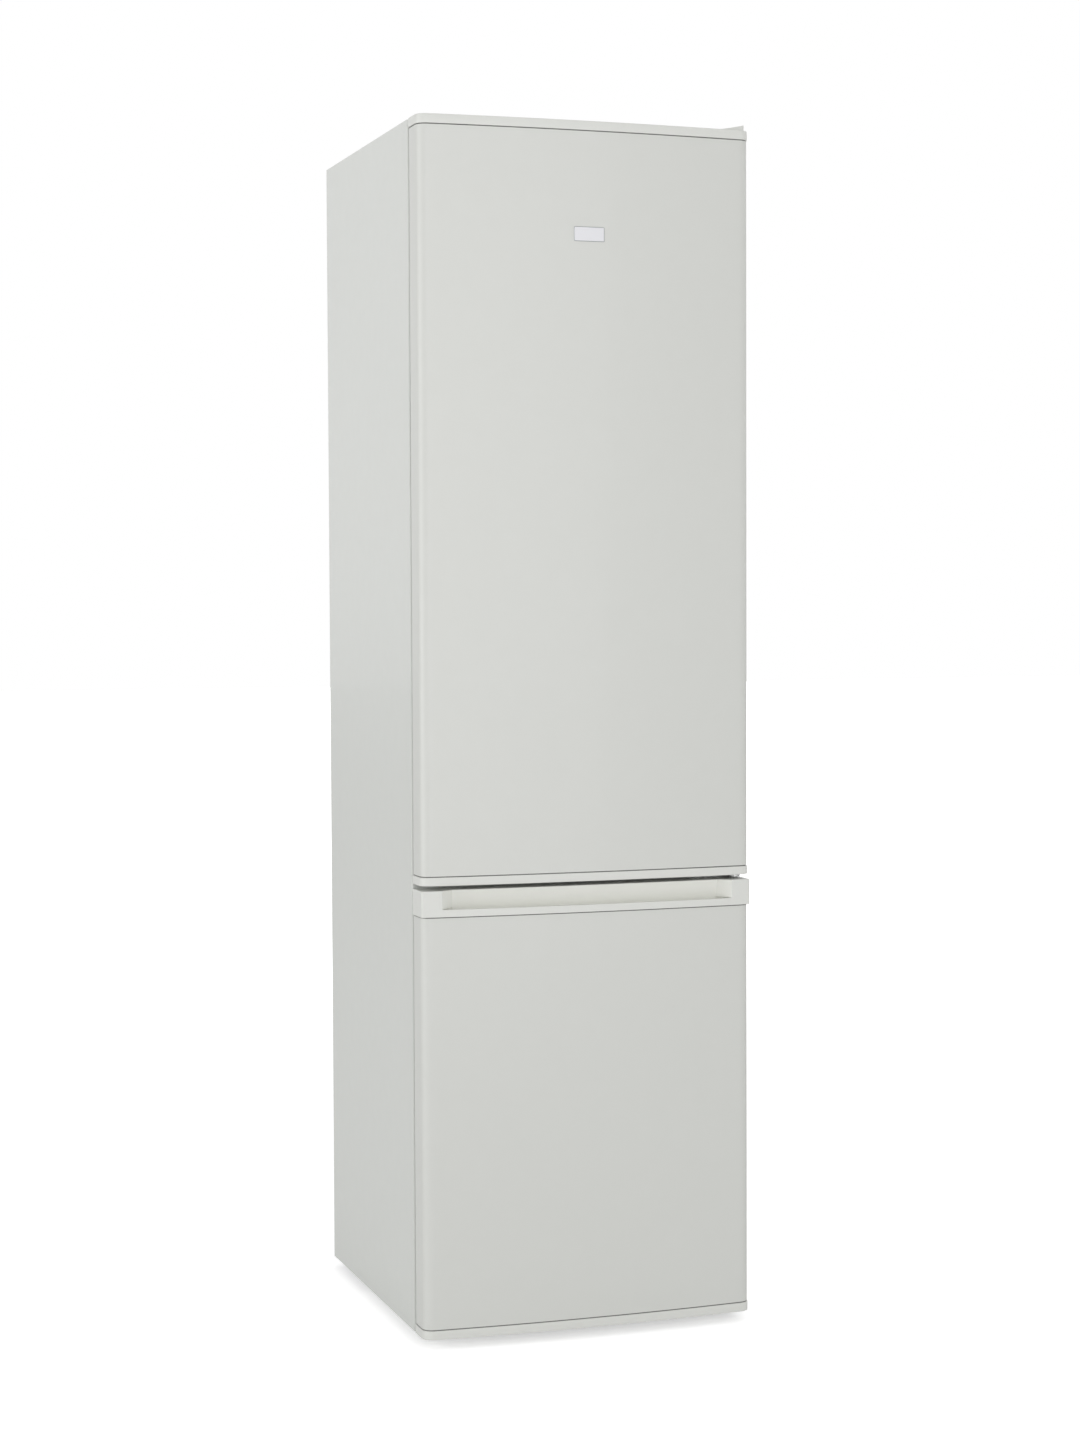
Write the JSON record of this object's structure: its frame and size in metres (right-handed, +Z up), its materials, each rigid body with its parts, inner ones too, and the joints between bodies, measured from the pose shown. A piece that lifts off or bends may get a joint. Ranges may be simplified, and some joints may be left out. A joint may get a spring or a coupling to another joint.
{
  "type": "refrigerator",
  "caption": "Tall free-standing refrigerator over a drawer freezer, with hinged bowed doors, a scooped finger recess, lifting door bins, glass shelves and a wire condenser behind",
  "frame": {"origin": "on the floor, under the middle of the whole refrigerator's bounding box", "axes": "+Z up, -Y towards the front of the doors, +X towards the hinge side"},
  "size_m": [0.542, 0.6, 1.9],
  "materials": {
    "cabinet_paint": "satin light-grey enamel",
    "door_paint": "satin light-grey enamel",
    "cap_plastic": "smooth light-grey moulding",
    "plate_finish": "satin pale plate, bare",
    "zinc_sheet": "zinc-coated sheet",
    "insulation": "rigid foam",
    "liner_plastic": "vacuum-formed, white",
    "seal_rubber": "soft grey profile",
    "hinge_steel": "plated steel",
    "black_lacquer": "black lacquer",
    "black_plastic": "black moulding",
    "black_rubber": "black rubber",
    "copper": "bare copper tube",
    "shelf_glass": "clear toughened glass",
    "trim_plastic": "white moulding",
    "clear_plastic": "clear moulding",
    "drawer_plastic": "frosted clear moulding",
    "lamp_glass": "bulb",
    "evaporator_metal": "bonded plate"
  },
  "bodies": {
    "cabinet": {"side_panel_left": "cabinet_paint", "side_panel_right": "cabinet_paint", "top_panel": "cabinet_paint", "top_hinge_cover": "cap_plastic", "back_panel": "zinc_sheet", "base_panel": "zinc_sheet", "bay_panel": "zinc_sheet", "compressor_tray": "zinc_sheet", "centre_rail": "zinc_sheet", "roller_forks": "zinc_sheet", "cabinet_foam": "insulation", "base_foam": "insulation", "fridge_liner": "liner_plastic", "freezer_liner": "liner_plastic", "top_hinge": "hinge_steel", "middle_hinge": "hinge_steel", "bottom_hinge": "hinge_steel", "fasteners": "hinge_steel", "condenser_coil": "black_lacquer", "condenser_wires": "black_lacquer", "compressor_shell": "black_lacquer", "compressor_mounting_plate": "black_lacquer", "condenser_clips": "black_plastic", "relay_cover": "black_plastic", "evaporation_dish": "black_plastic", "compressor_grommets": "black_rubber", "filter_drier": "copper", "refrigerant_pipes": "copper", "glass_shelves": "shelf_glass", "crisper_cover": "shelf_glass", "shelf_trims": "trim_plastic", "control_housing": "trim_plastic", "crisper_drawer": "clear_plastic", "lamp_cover": "clear_plastic", "freezer_drawer_lower": "drawer_plastic", "freezer_drawer_middle": "drawer_plastic", "freezer_drawer_upper": "drawer_plastic", "lamp": "lamp_glass", "evaporator_plates": "evaporator_metal"},
    "upper_door": {"upper_door_panel": "door_paint", "upper_door_top_cap": "cap_plastic", "upper_door_bottom_cap": "cap_plastic", "upper_door_foam": "insulation", "upper_door_liner": "liner_plastic", "upper_door_seal": "seal_rubber", "door_plate": "plate_finish"},
    "lower_door": {"lower_door_panel": "door_paint", "lower_door_bottom_cap": "cap_plastic", "handle_moulding": "cap_plastic", "lower_door_foam": "insulation", "lower_door_liner": "liner_plastic", "lower_door_seal": "seal_rubber"},
    "bin_bottom": {"door_bin_bottom": "clear_plastic"},
    "bin_middle": {"door_bin_middle": "clear_plastic"},
    "bin_top": {"door_bin_top": "clear_plastic"},
    "dial": {"thermostat_dial": "trim_plastic"},
    "foot_left": {"front_foot_left": "black_plastic"},
    "foot_right": {"front_foot_right": "black_plastic"},
    "roller_left": {"rear_roller_left": "black_plastic"},
    "roller_right": {"rear_roller_right": "black_plastic"}
  },
  "joints": [
    {"name": "upper_door_hinge", "type": "hinge", "parent": "cabinet", "child": "upper_door", "pos_m": [0.255, -0.2587, 1.3], "axis": [0, 0, 1], "range_deg": [0, 110]},
    {"name": "lower_door_hinge", "type": "hinge", "parent": "cabinet", "child": "lower_door", "pos_m": [0.255, -0.2587, 0.36], "axis": [0, 0, 1], "range_deg": [0, 110]},
    {"name": "bin_bottom_lift", "type": "slide", "parent": "upper_door", "child": "bin_bottom", "axis": [0, 0, 1], "range_m": [0, 0.015]},
    {"name": "bin_middle_lift", "type": "slide", "parent": "upper_door", "child": "bin_middle", "axis": [0, 0, 1], "range_m": [0, 0.015]},
    {"name": "bin_top_lift", "type": "slide", "parent": "upper_door", "child": "bin_top", "axis": [0, 0, 1], "range_m": [0, 0.015]},
    {"name": "thermostat_turn", "type": "hinge", "parent": "cabinet", "child": "dial", "pos_m": [0.062, -0.0812, 1.816], "axis": [0, 1, 0], "range_deg": [0, 270]},
    {"name": "foot_left_screw", "type": "slide", "parent": "cabinet", "child": "foot_left", "axis": [0, 0, -1], "range_m": [0, 0.012]},
    {"name": "foot_right_screw", "type": "slide", "parent": "cabinet", "child": "foot_right", "axis": [0, 0, -1], "range_m": [0, 0.012]},
    {"name": "roller_left_spin", "type": "hinge", "parent": "cabinet", "child": "roller_left", "pos_m": [-0.23, 0.2428, 0.012], "axis": [1, 0, 0], "continuous": true},
    {"name": "roller_right_spin", "type": "hinge", "parent": "cabinet", "child": "roller_right", "pos_m": [0.23, 0.2428, 0.012], "axis": [1, 0, 0], "continuous": true}
  ]
}
